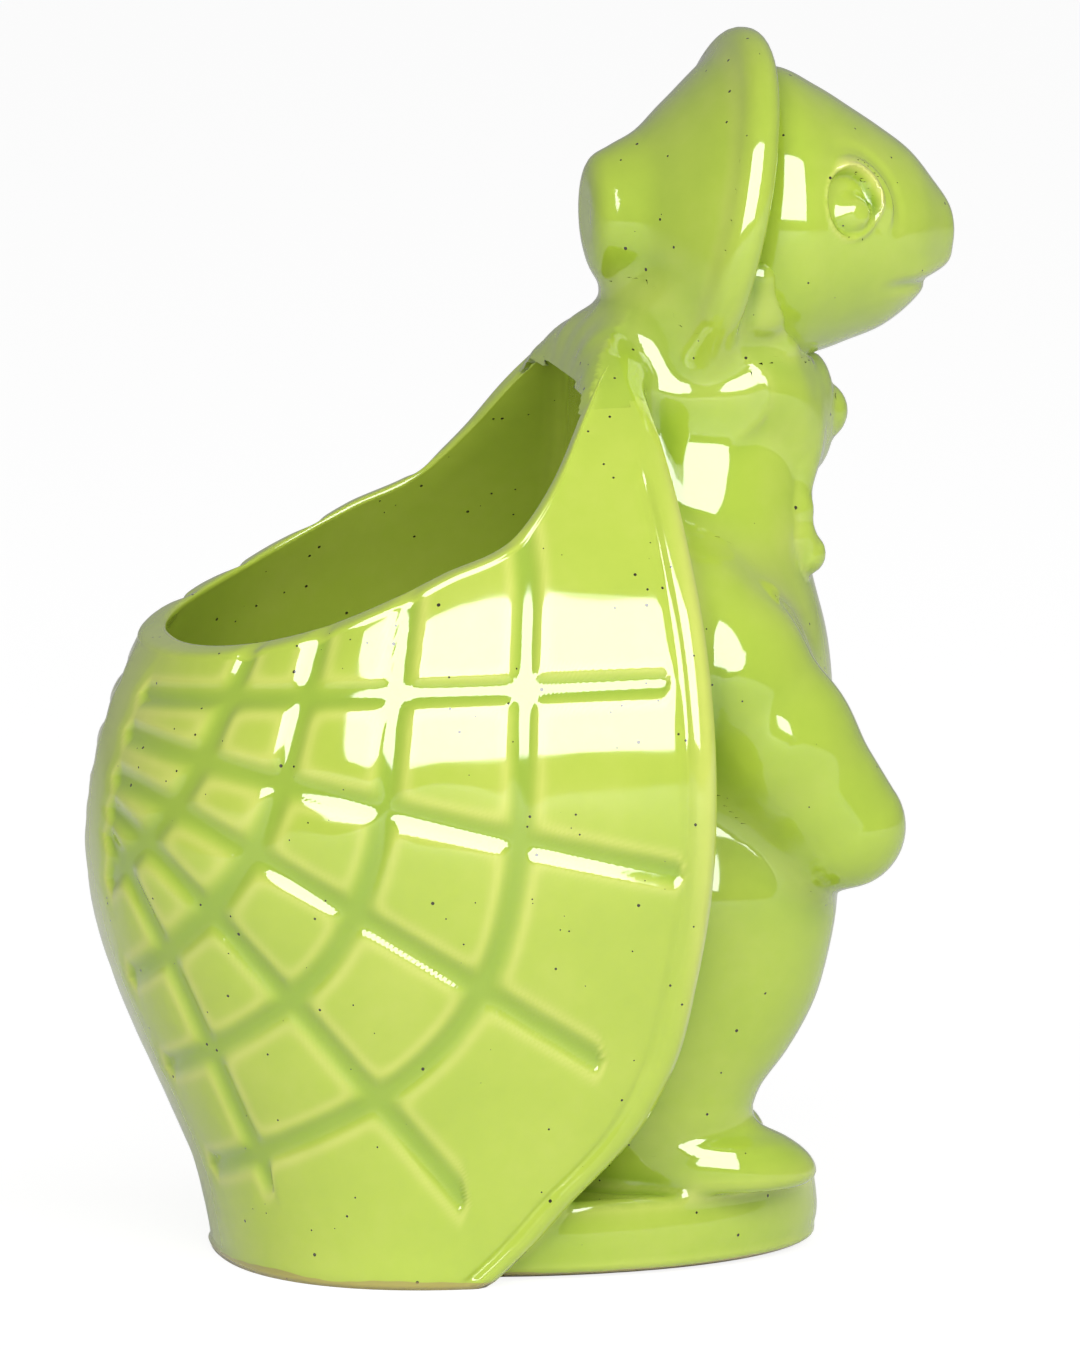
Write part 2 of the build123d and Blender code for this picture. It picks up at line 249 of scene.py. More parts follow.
@dataclass(frozen=True)
class Limb(Form):
    """Balls joined along a path: side, place ahead, height and radius of each."""

    balls: Rows
    soft: float = 3.0

    def distance(self, at: Places) -> Array:
        """Give the distance of each place from the skin, in millimetres."""
        result = None
        for start, end in zip(self.balls[:-1], self.balls[1:]):
            run = np.subtract(end[:3], start[:3])
            here = at.minus(*start[:3])
            share = np.clip((here @ run) / (run @ run), 0, 1)
            gap = np.linalg.norm(here - share[..., None] * run, axis=-1)
            part = gap - (start[3] + share * (end[3] - start[3]))
            result = part if result is None else blend(result, part, self.soft)
        return result


@dataclass(frozen=True)
class Egg(Form):
    """An egg-shaped form: its middle and its half sizes."""

    middle: Triple
    half: Triple

    def distance(self, at: Places) -> Array:
        """Give the distance of each place from the skin, in millimetres."""
        here = at.minus(*self.middle)
        scaled = np.linalg.norm(here / self.half, axis=-1)
        slope = np.linalg.norm(here / np.square(self.half), axis=-1)
        return scaled * (scaled - 1) / np.maximum(slope, 1e-6)


@dataclass(frozen=True)
class Leaf(Form):
    """A flat leaf that runs level from a place: way out, rise, half height, half depth."""

    start: Triple
    turn: float
    rows: Rows
    edge: float = 1.2

    def way_out(self, at: Places) -> Array:
        """Give how far each place lies along the leaf."""
        here = at.minus(*self.start)
        turn = math.radians(self.turn)
        return here[..., 0] * math.cos(turn) - here[..., 1] * math.sin(turn)

    def distance(self, at: Places) -> Array:
        """Give the distance of each place from the skin, in millimetres."""
        here = at.minus(*self.start)
        turn = math.radians(self.turn)
        out = self.way_out(at)
        deep = here[..., 0] * math.sin(turn) + here[..., 1] * math.cos(turn)
        rise, height, depth = np.moveaxis(SmoothTable(self.rows)(out), -1, 0)
        wall = ellipse_distance(here[..., 2] - rise, deep, height, depth)
        ends = np.maximum(self.rows[0][0] - out, out - self.rows[-1][0])
        return -blend(-wall, -ends, self.edge)


# The shell and its grooves


@dataclass(frozen=True)
class ShellForm(Form):
    """The D-shaped shell: height, half width, back and front of each level."""

    levels: Rows = (
        (0.0, 35.0, 44.1, -11.53),
        (6.0, 36.5, 45.3, -5.49),
        (12.0, 38.2, 46.9, -0.55),
        (21.9, 41.0, 51.0, 8.24),
        (31.9, 43.6, 55.6, 13.36),
        (45.2, 46.8, 60.6, 16.2),
        (59.9, 49.5, 63.0, 17.93),
        (71.8, 50.0, 61.6, 18.3),
        (83.8, 48.6, 57.5, 18.12),
        (95.1, 44.6, 50.5, 17.6),
        (105.1, 38.5, 42.0, 16.8),
        (114.0, 31.8, 33.0, 15.9),
        (122.0, 24.5, 24.0, 14.6),
        (127.9, 17.5, 15.5, 13.19),
        (133.0, 9.5, 7.0, 11.6),
    )
    roundness: float = 2.3
    corner: float = 2.6
    top: float = 133.0
    rim: Rows = (
        (-13.2, 131.0), (-9.1, 129.7), (-5.1, 124.4), (1.3, 114.5), (6.3, 108.7),
        (18.0, 102.7), (37.8, 93.8), (56.7, 88.8), (70.6, 87.1),
    )

    def above_rim(self, at: Places) -> Array:
        """Give how far each place lies above the slanting cut of the mouth."""
        low, high = self.rim[0][0], self.rim[-1][0]
        rim = SmoothTable(self.rim)(np.clip(-at.ahead, low, high))[..., 0]
        steep = np.where(at.ahead > 0, 1.75, 1.1)
        return (at.height - rim) / steep

    def distance(self, at: Places) -> Array:
        """Give the distance of each place from the skin, in millimetres."""
        width, back, front = np.moveaxis(SmoothTable(self.levels)(at.height), -1, 0)
        start = self.corner - front
        behind = np.maximum(-at.ahead - start, 0)
        reach = np.maximum(back - start, 1)
        power = self.roundness
        total = (at.side / width) ** power + (behind / reach) ** power + 1e-9
        scaled = total ** (1 / power)
        slope_side = (at.side / width) ** (power - 1) / width
        slope_back = (behind / reach) ** (power - 1) / reach
        shrink = total ** (1 / power - 1)
        slope = np.hypot(slope_side * shrink, slope_back * shrink)
        wall = (scaled - 1) / np.maximum(slope, 0.01)
        face = at.ahead - front
        out = np.maximum(wall + self.corner, 0)
        flat = np.maximum(face + self.corner, 0)
        inner = np.minimum(np.maximum(wall, face) + self.corner, 0)
        box = np.hypot(out, flat) + inner - self.corner
        ends = np.maximum(-at.height, at.height - self.top)
        return np.maximum(box, ends)

    def loop(self, height: Array, turns: Array, inset: float) -> Array:
        """Walk round the levels of the shell.

        Args:
            height: the height of each point.
            turns: where each point stands on its level, from 0 at the middle of the
                front, over the right side, to 0.5 at the back and 1 at the front again.
            inset: how far the level is drawn in.

        Returns:
            The points, as x, y, z on a last axis.
        """
        width, back, front = np.moveaxis(SmoothTable(self.levels)(height), -1, 0)
        across, near = width - inset, inset - front
        corner = self.corner
        reach = back - inset - near - corner
        half = np.where(turns > 0.5, 1 - turns, turns) * 2
        sign = np.where(turns > 0.5, 1.0, -1.0)
        front_end, corner_end = 0.16, 0.22
        flat = np.clip(half / front_end, 0, 1)
        round_share = np.clip((half - front_end) / (corner_end - front_end), 0, 1)
        angle = round_share * math.pi / 2
        side = (across - corner) * flat + corner * np.sin(angle)
        depth = near + corner * (1 - np.cos(angle))
        sweep = np.clip((half - corner_end) / (1 - corner_end), 0, 1) * math.pi / 2
        power = 2 / self.roundness
        on_back = half > corner_end
        side = np.where(on_back, across * np.maximum(np.cos(sweep), 0) ** power, side)
        depth = np.where(on_back, near + corner + reach * np.sin(sweep) ** power, depth)
        return np.stack([sign * side, depth, np.broadcast_to(height, side.shape)], axis=-1)


@dataclass(frozen=True)
class Scutes:
    """The web of soft grooves over the shell: rays and arcs that end at a smooth keel."""

    rays: Rows = (
        (83.2, -0.016, 0.101, -15.0),
        (63.4, 0.236, 0.013, -16.5),
        (32.1, 0.629, 0.065, -6.0),
        (-5.6, 1.158, 0.005, 12.5),
        (-75.9, 2.227, -0.133, 38.0),
    )
    arc_middle: Triple = (0.0, 30.7, 71.12)
    arc_stretch: Triple = (1.05, 1.0, 0.91)
    arc_radii: tuple[float, ...] = (54.7, 45.5, 39.65, 35.25)
    spread: float = 1.65
    depth: float = 0.62
    pillow_reach: float = 7.5
    pillow_rise: float = 0.6
    fade: float = 4.5
    melt: float = 0.7
    pillow_soft: float = 1.2
    ended_gap: float = 9.0
    least_growth: float = 0.35
    keel: Pair = (2.0, 9.0)
    keel_gap: float = 8.0
    lip_width: float = 3.2
    lip_run: float = 1.6
    lip_step: float = 0.45
    line_place: float = 1.4
    line_width: float = 0.8
    line_depth: float = 0.35

    def gap(self, points: Array, normals: Array) -> Array:
        """Give the distance over the skin from the nearest groove line."""
        side = np.abs(points[..., 0])
        sign = np.sign(points[..., 0])
        near = np.full(points.shape[:-1], 1e-9)
        for rise, back, out, end in self.rays:
            value = points[..., 2] - rise - back * points[..., 1] - out * side
            slope = np.stack([-out * sign, np.full_like(value, -back), np.ones_like(value)], -1)
            line = np.abs(value) / self.over_skin(slope, normals)
            past_end = 1 - smooth_step(end - 1, end + self.fade, points[..., 1])
            line += self.ended_gap * self.spread * past_end
            near += np.exp(-line / self.melt)
        stretched = (points - self.arc_middle) * self.arc_stretch
        length = np.linalg.norm(stretched, axis=-1)
        slope = stretched * self.arc_stretch / np.maximum(length, 1e-6)[..., None]
        scale = self.over_skin(slope, normals)
        for radius in self.arc_radii:
            near += np.exp(-np.abs(length - radius) / scale / self.melt)
        best = np.maximum(-self.melt * np.log(near), 0)
        smooth = 1 - smooth_step(*self.keel, side)
        return best + np.where(points[..., 1] > 0, self.keel_gap * smooth, 0.0)

    def over_skin(self, slope: Array, normals: Array) -> Array:
        """Give how fast a value grows over the skin, from its slope in space."""
        across = slope - np.sum(slope * normals, axis=-1)[..., None] * normals
        return np.maximum(np.linalg.norm(across, axis=-1), self.least_growth)

    def sink(self, gap: Array) -> Array:
        """Give how deep the skin lies under its plain form, by its gap to a groove."""
        groove = self.depth * np.exp(-((gap / self.spread) ** 3))
        near = np.clip(1 - np.hypot(gap, self.pillow_soft) / self.pillow_reach, 0, 1)
        return groove + self.pillow_rise * near**2

    def past_lip(self, behind: Array) -> Array:
        """Rise from 0 on the lip to 1 past it, by the way back from the shell's front."""
        return smooth_step(self.lip_width, self.lip_width + self.lip_run, behind)

    def lip(self, behind: Array) -> Array:
        """Give the step down behind the lip, by the way back from the shell's front."""
        line = ridge(behind - self.lip_width - self.line_place, self.line_width)
        return self.lip_step * self.past_lip(behind) + self.line_depth * line


# Meshes of the clay


def add_object(name: str, data: bpy.types.ID) -> bpy.types.Object:
    """Make an object and put it in the scene."""
    made = bpy.data.objects.new(name, data)
    bpy.context.scene.collection.objects.link(made)
    return made


@dataclass
class Skin:
    """A closed mesh in millimetres, with a normal and glaze values for each point."""

    name: str
    points: Array
    faces: Array
    normals: Array
    values: dict[str, Array]

    def make(self, material: bpy.types.Material, nodes: tuple[str, ...]) -> bpy.types.Object:
        """Put the mesh in the scene, on its body and with its finish.

        Args:
            material: the finish.
            nodes: the nodes of the frame that it stands for.

        Returns:
            The new object.
        """
        label = "glazed_" + self.name
        mesh = bpy.data.meshes.new(label)
        count, corners = self.faces.shape
        mesh.vertices.add(len(self.points))
        mesh.vertices.foreach_set("co", (self.points * MM).astype(np.float32).ravel())
        mesh.loops.add(count * corners)
        mesh.loops.foreach_set("vertex_index", self.faces.astype(np.int32).ravel())
        mesh.polygons.add(count)
        mesh.polygons.foreach_set("loop_start", np.arange(0, count * corners, corners, dtype=np.int32))
        mesh.polygons.foreach_set("use_smooth", np.ones(count, dtype=bool))
        mesh.update()
        mesh.validate()
        for key, value in self.values.items():
            layer = mesh.attributes.new(key, "FLOAT", "POINT")
            layer.data.foreach_set("value", value.astype(np.float32))
        mesh.normals_split_custom_set_from_vertices(self.normals.astype(np.float32))
        mesh.materials.append(material)
        piece = add_object(label, mesh)
        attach(piece, "root")
        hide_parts(*nodes)
        log.info("%s: %d points, %d faces", self.name, len(self.points), count)
        return piece


@dataclass(frozen=True)
class Clay:
    """A blended lump of named forms, meshed into closed pieces that share their seams."""

    low: Triple
    high: Triple
    spacing: float
    names: tuple[str, ...]

    def parts(self, at: Places) -> Array:
        """Give the distance from each named form, on a first axis."""
        raise NotImplementedError

    def whole(self, at: Places) -> Array:
        """Give the distance from the blended lump."""
        raise NotImplementedError

    def barred(self, at: Places) -> Array:
        """Give where another piece of the planter already stands."""
        return np.zeros(at.side.shape, dtype=bool)

    def slope(self, points: Array, step: float) -> Array:
        """Give how fast the distance grows along each axis, measured over a step each way."""
        result = np.empty_like(points)
        for axis in range(3):
            shift = np.zeros(3)
            shift[axis] = step
            ahead = self.whole(Places.of(points + shift))
            result[:, axis] = ahead - self.whole(Places.of(points - shift))
        return result / (2 * step)

    def settle(self, points: Array) -> Array:
        """Move points onto the skin of the lump."""
        for _ in range(4):
            slope = self.slope(points, 0.12)
            size = np.maximum(np.sum(slope**2, axis=1), 0.2)
            value = np.clip(self.whole(Places.of(points)), -self.spacing, self.spacing)
            points = points - (value / size)[:, None] * slope
        return points

    def bury(self, points: Array) -> Array:
        """Keep the points of the seams inside the lump clear of its skin."""
        for _ in range(2):
            slope = self.slope(points, 0.12)
            size = np.maximum(np.linalg.norm(slope, axis=1), 0.3)
            short = np.clip(self.whole(Places.of(points)) + self.spacing, 0, self.spacing)
            points = points - (short / size)[:, None] * slope
        return points

    def labels(self, grid: Array) -> tuple[Array, Array]:
        """Name the piece at each point of a grid: 0 outside, then the names in order."""
        labels = np.zeros(grid.shape[:3], dtype=np.int8)
        values = np.empty(grid.shape[:3], dtype=np.float32)
        for index in range(grid.shape[2]):
            at = Places.of(grid[:, :, index])
            whole = self.whole(at)
            nearest = np.argmin(self.parts(at), axis=0) + 1
            found = np.where(whole < 0, nearest, 0)
            labels[:, :, index] = np.where(self.barred(at), -1, found)
            values[:, :, index] = whole
        return labels, values

    def skins(self) -> list[Skin]:
        """Mesh every named piece."""
        axes = [np.arange(a, b, self.spacing) for a, b in zip(self.low, self.high)]
        grid = np.stack(np.meshgrid(*axes, indexing="ij"), axis=-1)
        labels, values = self.labels(grid)
        split = self.split_sides(labels, grid[..., 0])
        cells, points, outer = self.net_points(split, values, axes)
        points[outer] = self.settle(points[outer])
        points[~outer] = self.bury(points[~outer])
        normals = self.slope(points, 0.2)
        normals /= np.maximum(np.linalg.norm(normals, axis=1), 1e-6)[:, None]
        values_by_name = self.glaze_values(points, normals)
        result = []
        for label, name in self.side_names():
            quads = self.net_quads(split, cells, label)
            if not len(quads):
                continue
            used, faces = np.unique(quads, return_inverse=True)
            chosen = {key: value[used] for key, value in values_by_name.items()}
            result.append(Skin(name, points[used], faces.reshape(-1, 4), normals[used], chosen))
        return result

    def side_names(self) -> list[tuple[int, str]]:
        """Give the label and the full name of every piece."""
        result = []
        for index, name in enumerate(self.names, start=1):
            if name.endswith("_"):
                result.append((index, name + "right"))
                result.append((index + len(self.names), name + "left"))
            else:
                result.append((index, name))
        return result

    def split_sides(self, labels: Array, across: Array) -> Array:
        """Give the left one of a pair its own label."""
        paired = np.array([False] + [name.endswith("_") for name in self.names])
        left = (across > 0) & (labels > 0) & paired[np.maximum(labels, 0)]
        return np.where(left, labels + len(self.names), labels).astype(np.int8)

    def net_points(self, labels: Array, values: Array, axes: list[Array]) -> tuple[Array, Array, Array]:
        """Set one point in every cell whose corners differ in label.

        Args:
            labels: the label at each corner of the grid.
            values: the distance at each corner of the grid.
            axes: the corners' places along X, Y and Z.

        Returns:
            The index of the point in each cell, or -1, the points, and which of them
            lie on the outer skin.
        """
        shape = tuple(n - 1 for n in labels.shape)
        total = np.zeros(shape + (3,), dtype=np.float32)
        count = np.zeros(shape, dtype=np.float32)
        for axis in range(3):
            first = [slice(None)] * 3
            second = [slice(None)] * 3
            first[axis], second[axis] = slice(None, -1), slice(1, None)
            a, b = tuple(first), tuple(second)
            differ = labels[a] != labels[b]
            open_edge = (labels[a] == 0) != (labels[b] == 0)
            run = values[b] - values[a]
            crossed = open_edge & (np.abs(run) > 1e-6)
            share = np.where(crossed, -values[a] / np.where(run == 0, 1, run), 0.5)
            share = np.clip(share, 0, 1)
            others = [n for n in range(3) if n != axis]
            for u in (0, 1):
                for v in (0, 1):
                    pick = [slice(None)] * 3
                    pick[others[0]] = slice(u, u + shape[others[0]])
                    pick[others[1]] = slice(v, v + shape[others[1]])
                    pick = tuple(pick)
                    hit = differ[pick]
                    total[..., axis] += hit * share[pick]
                    total[..., others[0]] += hit * u
                    total[..., others[1]] += hit * v
                    count += hit
        mixed = count > 0
        cells = np.full(shape, -1, dtype=np.int64)
        cells[mixed] = np.arange(int(mixed.sum()))
        origin = np.array([axis[0] for axis in axes])
        corner = np.argwhere(mixed)
        points = origin + (corner + total[mixed] / count[mixed][:, None]) * self.spacing
        outer = np.zeros(shape, dtype=bool)
        for u in (0, 1):
            for v in (0, 1):
                for w in (0, 1):
                    outer |= labels[u:u + shape[0], v:v + shape[1], w:w + shape[2]] == 0
        return cells, points.astype(float), outer[mixed]

    @staticmethod
    def net_quads(labels: Array, cells: Array, label: int) -> Array:
        """Give the faces between one label and all the others."""
        quads = []
        for axis in range(3):
            first = [slice(1, -1)] * 3
            second = [slice(1, -1)] * 3
            first[axis], second[axis] = slice(None, -1), slice(1, None)
            inside = labels[tuple(first)] == label
            beyond = labels[tuple(second)] == label
            u, v = [n for n in range(3) if n != axis]
            for mask, flip in ((inside & ~beyond, False), (~inside & beyond, True)):
                spot = np.argwhere(mask)
                base = spot.copy()
                base[:, u] += 1
                base[:, v] += 1
                ring = []
                for du, dv in ((0, 0), (-1, 0), (-1, -1), (0, -1)):
                    cell = base.copy()
                    cell[:, u] += du
                    cell[:, v] += dv
                    ring.append(cells[cell[:, 0], cell[:, 1], cell[:, 2]])
                faces = np.stack(ring, axis=1)
                turned = flip != (axis == 1)
                quads.append(faces[:, ::-1] if turned else faces)
        return np.concatenate(quads)

    def glaze_values(self, points: Array, normals: Array) -> dict[str, Array]:
        """Measure where the glaze pools in hollows and thins on edges."""
        pool = np.zeros(len(points))
        thin = np.zeros(len(points))
        for reach, weight in ((1.2, 0.5), (2.6, 0.5)):
            out = self.whole(Places.of(points + normals * reach))
            under = self.whole(Places.of(points - normals * reach))
            pool += weight * np.clip((reach - out) / reach, 0, 1)
            thin += weight * np.clip((reach + under) / reach, 0, 1)
        return {"glaze_pool": pool, "glaze_thin": thin}


@dataclass(frozen=True)
class Fillets:
    """How softly each form of the figure melts into the rest, in millimetres."""

    leg: float = 7.0
    arm: float = 6.0
    foot: float = 2.5
    plinth: float = 2.0
    neck: float = 9.0
    nape: float = 7.0
    brim: float = 2.2
    bonnet: float = 4.0
    ribbon: float = 1.6
    ribbon_fold: float = 5.0
    tail: float = 1.0
    loop: float = 1.0
    loop_tip: float = 3.5
    loop_run: Pair = (7.0, 15.0)
    knot: float = 0.8
    shell: float = 3.5


@dataclass(frozen=True)
class Figure(Clay):
    """The turtle's body, bonnet and bow, which melt into each other under the glaze."""

    low: Triple = (-42.0, -66.0, -1.0)
    high: Triple = (42.0, 13.5, 176.5)
    spacing: float = 0.85
    names: tuple[str, ...] = (
        "base_plinth", "torso", "neck", "bonnet_crown", "bonnet_brim", "bow_knot",
        "leg_", "foot_", "arm_", "bow_loop_", "ribbon_tail_", "bonnet_ribbon_",
    )
    shell: ShellForm = ShellForm()
    fillets: Fillets = Fillets()
    wall_layer: float = 1.5
    rim_layer: float = 3.2
    layer_reach: float = 3.3
    torso: OvalStack = OvalStack((
        (11.0, 14.0, 14.0, 22.0), (25.0, 16.0, 15.0, 24.0), (38.0, 18.0, 19.0, 26.0),
        (50.0, 19.4, 22.6, 27.5), (62.0, 19.8, 24.2, 28.0), (76.0, 20.2, 24.6, 28.0),
        (88.0, 20.4, 23.5, 26.6), (97.0, 20.8, 20.9, 24.6), (106.0, 22.4, 17.6, 20.8),
        (113.0, 24.6, 15.2, 16.8), (118.0, 26.0, 14.0, 13.9), (121.0, 26.4, 13.6, 13.4),
    ))
    neck: OvalStack = OvalStack((
        (106.0, 26.4, 13.0, 15.2), (118.0, 26.2, 13.6, 16.2), (128.0, 25.8, 13.6, 16.8),
        (140.0, 25.4, 13.4, 16.0),
    ), 0.0, 4.0)
    nape: Limb = Limb((
        (0.0, 11.4, 128.6, 3.4), (8.0, 11.4, 128.3, 3.2), (13.0, 10.6, 126.8, 2.7),
        (17.5, 8.0, 124.4, 1.8),
    ))
    crown: Lathe = Lathe(
        (
            (9.4, 2.0), (9.5, 5.6), (10.6, 8.2), (13.2, 9.8), (16.4, 12.0),
            (19.5, 16.6), (22.8, 21.4), (26.0, 24.6), (27.8, 25.2),
        ),
        148.6,
        ((9.6, 0.0), (15.0, 2.4), (19.5, 7.2), (23.0, 10.4), (26.0, 12.0), (32.0, 12.0)),
    )
    brim: Disc = Disc(28.0, 149.0, 25.9, 5.0, 12.0, 2.2)
    plinth: OvalStack = OvalStack((
        (0.0, 0.0, 39.6, 27.1), (0.9, 0.0, 41.6, 29.1), (3.0, 0.0, 42.4, 29.9),
        (11.0, 0.0, 42.2, 29.7),
    ))
    leg: OvalStack = OvalStack((
        (16.0, 19.4, 9.5, 9.0), (24.8, 19.6, 11.1, 10.0), (30.0, 20.3, 14.5, 11.5),
        (37.2, 21.5, 17.4, 13.1), (44.0, 22.0, 18.9, 14.1), (53.0, 22.5, 19.5, 14.5),
        (62.0, 22.5, 18.0, 13.0),
    ), 16.5, 8.0)
    foot: OvalStack = OvalStack((
        (11.0, 25.9, 12.8, 10.6), (12.9, 25.9, 13.2, 10.9), (16.0, 25.1, 12.0, 10.5),
        (17.6, 24.2, 10.6, 9.7), (19.2, 22.7, 8.9, 7.2), (22.5, 20.7, 7.0, 6.6),
    ), 17.5, 2.0)
    arm: Limb = Limb((
        (23.0, 18.0, 93.0, 12.0), (25.1, 24.2, 86.5, 11.3), (26.5, 31.8, 76.5, 10.2),
        (27.0, 41.2, 63.5, 8.8),
    ))
    knot: Egg = Egg((0.0, 42.8, 119.2), (4.6, 4.7, 4.6))
    loop: Leaf = Leaf((0.0, 43.8, 120.0), 42.0, (
        (-0.4, -0.8, 5.6, 2.0), (1.4, -0.5, 7.6, 3.0), (6.3, -0.8, 9.4, 4.6),
        (10.4, -1.6, 11.0, 5.6), (12.8, 0.4, 9.0, 5.4), (15.8, 2.6, 6.4, 4.8),
        (21.0, 4.6, 3.6, 3.4),
    ), 0.8)
    tail: Limb = Limb((
        (10.4, 37.2, 112.0, 2.3), (11.2, 37.2, 107.0, 2.7), (11.6, 37.4, 103.0, 2.7),
        (10.8, 38.8, 100.4, 3.2),
    ), 1.0)
    ribbon_back: Limb = Limb((
        (17.3, 30.8, 141.5, 1.2), (15.6, 29.8, 135.6, 1.3), (13.5, 27.6, 131.2, 1.3),
        (11.8, 25.2, 128.0, 1.0),
    ))
    ribbon_front: Limb = Limb((
        (17.3, 31.3, 141.5, 1.2), (14.8, 33.0, 135.6, 1.4), (11.8, 34.8, 131.2, 1.8),
        (7.0, 38.6, 127.0, 2.0),
    ))

    def parts(self, at: Places) -> Array:
        """Give the distance from each named form, on a first axis."""
        neck = blend(self.neck.distance(at), self.nape.distance(at), self.fillets.nape)
        back, front = self.ribbon_back.distance(at), self.ribbon_front.distance(at)
        ribbon = blend(back, front, self.fillets.ribbon_fold)
        first = [form.distance(at) for form in (self.plinth, self.torso)]
        middle = (self.crown, self.brim, self.knot, self.leg, self.foot, self.arm, self.loop, self.tail)
        return np.stack([*first, neck, *(form.distance(at) for form in middle), ribbon])

    def body(self, at: Places) -> Array:
        """Give the distance from the blended figure without its shell."""
        plinth, torso, neck, crown, brim, knot, leg, foot, arm, loop, tail, ribbon = self.parts(at)
        soft = self.fillets
        bonnet = blend(crown, brim, soft.brim)
        toward_tip = smooth_step(*soft.loop_run, self.loop.way_out(at))
        body = blend(torso, leg, soft.leg)
        for form, reach in (
            (arm, soft.arm), (foot, soft.foot), (plinth, soft.plinth), (neck, soft.neck),
            (bonnet, soft.bonnet), (ribbon, soft.ribbon), (tail, soft.tail),
            (loop, soft.loop + soft.loop_tip * toward_tip), (knot, soft.knot),
        ):
            body = blend(body, form, reach)
        return body

    def whole(self, at: Places) -> Array:
        """Give the distance from the blended lump, which stands flat on the table."""
        lump = blend(self.body(at), self.pot(at), self.fillets.shell)
        return np.maximum(lump, -at.height)

    def pot(self, at: Places) -> Array:
        """Give the distance from the shell under the cut of its mouth."""
        return np.maximum(self.shell.distance(at), self.shell.above_rim(at))

    def barred(self, at: Places) -> Array:
        """Give where the shell already stands, but for a thin layer under the fillet."""
        wall, above = self.shell.distance(at), self.shell.above_rim(at)
        at_rim = (above > -self.wall_layer) & (wall > -self.rim_layer)
        layer = (wall > -self.wall_layer) | at_rim
        return (np.maximum(wall, above) < 0) & ~(layer & (self.body(at) < self.layer_reach))


@dataclass(frozen=True)
class Eye:
    """The relief of an eye: a socket with its ball, a lid over it and a soft brow."""

    middle: Triple = (17.6, 44.4, 151.7)
    onward: Triple = (-0.421, 0.898, -0.129)
    upward: Triple = (-0.292, 0.0, 0.956)
    half: Pair = (4.5, 5.0)
    ball_middle: Pair = (0.9, -1.5)
    ball_half: Pair = (3.7, 3.6)
    socket_depth: float = 1.5
    ball_rise: float = 2.3
    pupil_depth: float = 0.45
    lid_rise: float = 0.7
    rim_rise: float = 0.22
    brow_rise: float = 0.9

    def flat(self, at: Places) -> tuple[Array, Array]:
        """Give how far each place lies onward and upward from the eye's middle."""
        here = at.minus(*self.middle)
        return here @ np.array(self.onward), here @ np.array(self.upward)

    def ring(self, at: Places) -> tuple[Array, Array]:
        """Give each place's way out, 1 on the socket's edge, and its angle in degrees."""
        on, up = self.flat(at)
        on, up = on / self.half[0], up / self.half[1]
        return np.hypot(on, up), np.degrees(np.arctan2(up, on))

    def ball(self, at: Places) -> Array:
        """Give each place's way out from the ball's middle, 1 on its edge."""
        on, up = self.flat(at)
        across = (on - self.ball_middle[0]) / self.ball_half[0]
        return np.hypot(across, (up - self.ball_middle[1]) / self.ball_half[1])

    def rise(self, at: Places) -> Array:
        """Give how far the skin stands above the plain head."""
        on, up = self.flat(at)
        out, angle = self.ring(at)
        above = smooth_step(-35.0, 5.0, angle) * smooth_step(130.0, 95.0, angle)
        deep = self.socket_depth * (0.6 + 0.4 * smooth_step(-4.0, 4.0, up + 0.5 * on))
        total = -deep * smooth_step(1.04, 0.8, out)
        total += self.ball_rise * smooth_step(1.08, 0.25, self.ball(at))
        pupil = np.exp(-(((on + 0.6) / 1.1) ** 2) - ((up + 2.2) / 1.3) ** 2)
        total -= self.pupil_depth * pupil
        total += self.lid_rise * np.exp(-(((out - 1.06) / 0.1) ** 2)) * above
        total += self.rim_rise * np.exp(-(((out - 1.04) / 0.08) ** 2)) * (1 - above)
        line = 1.62 - 0.0033 * angle
        brow = smooth_step(line + 0.12, line - 0.12, out) * smooth_step(0.95, 1.1, out)
        hollow = np.exp(-(((out - line - 0.32) / 0.2) ** 2))
        total += (self.brow_rise * brow - 0.25 * hollow) * above
        return np.where(at.side > 6, total, 0.0)


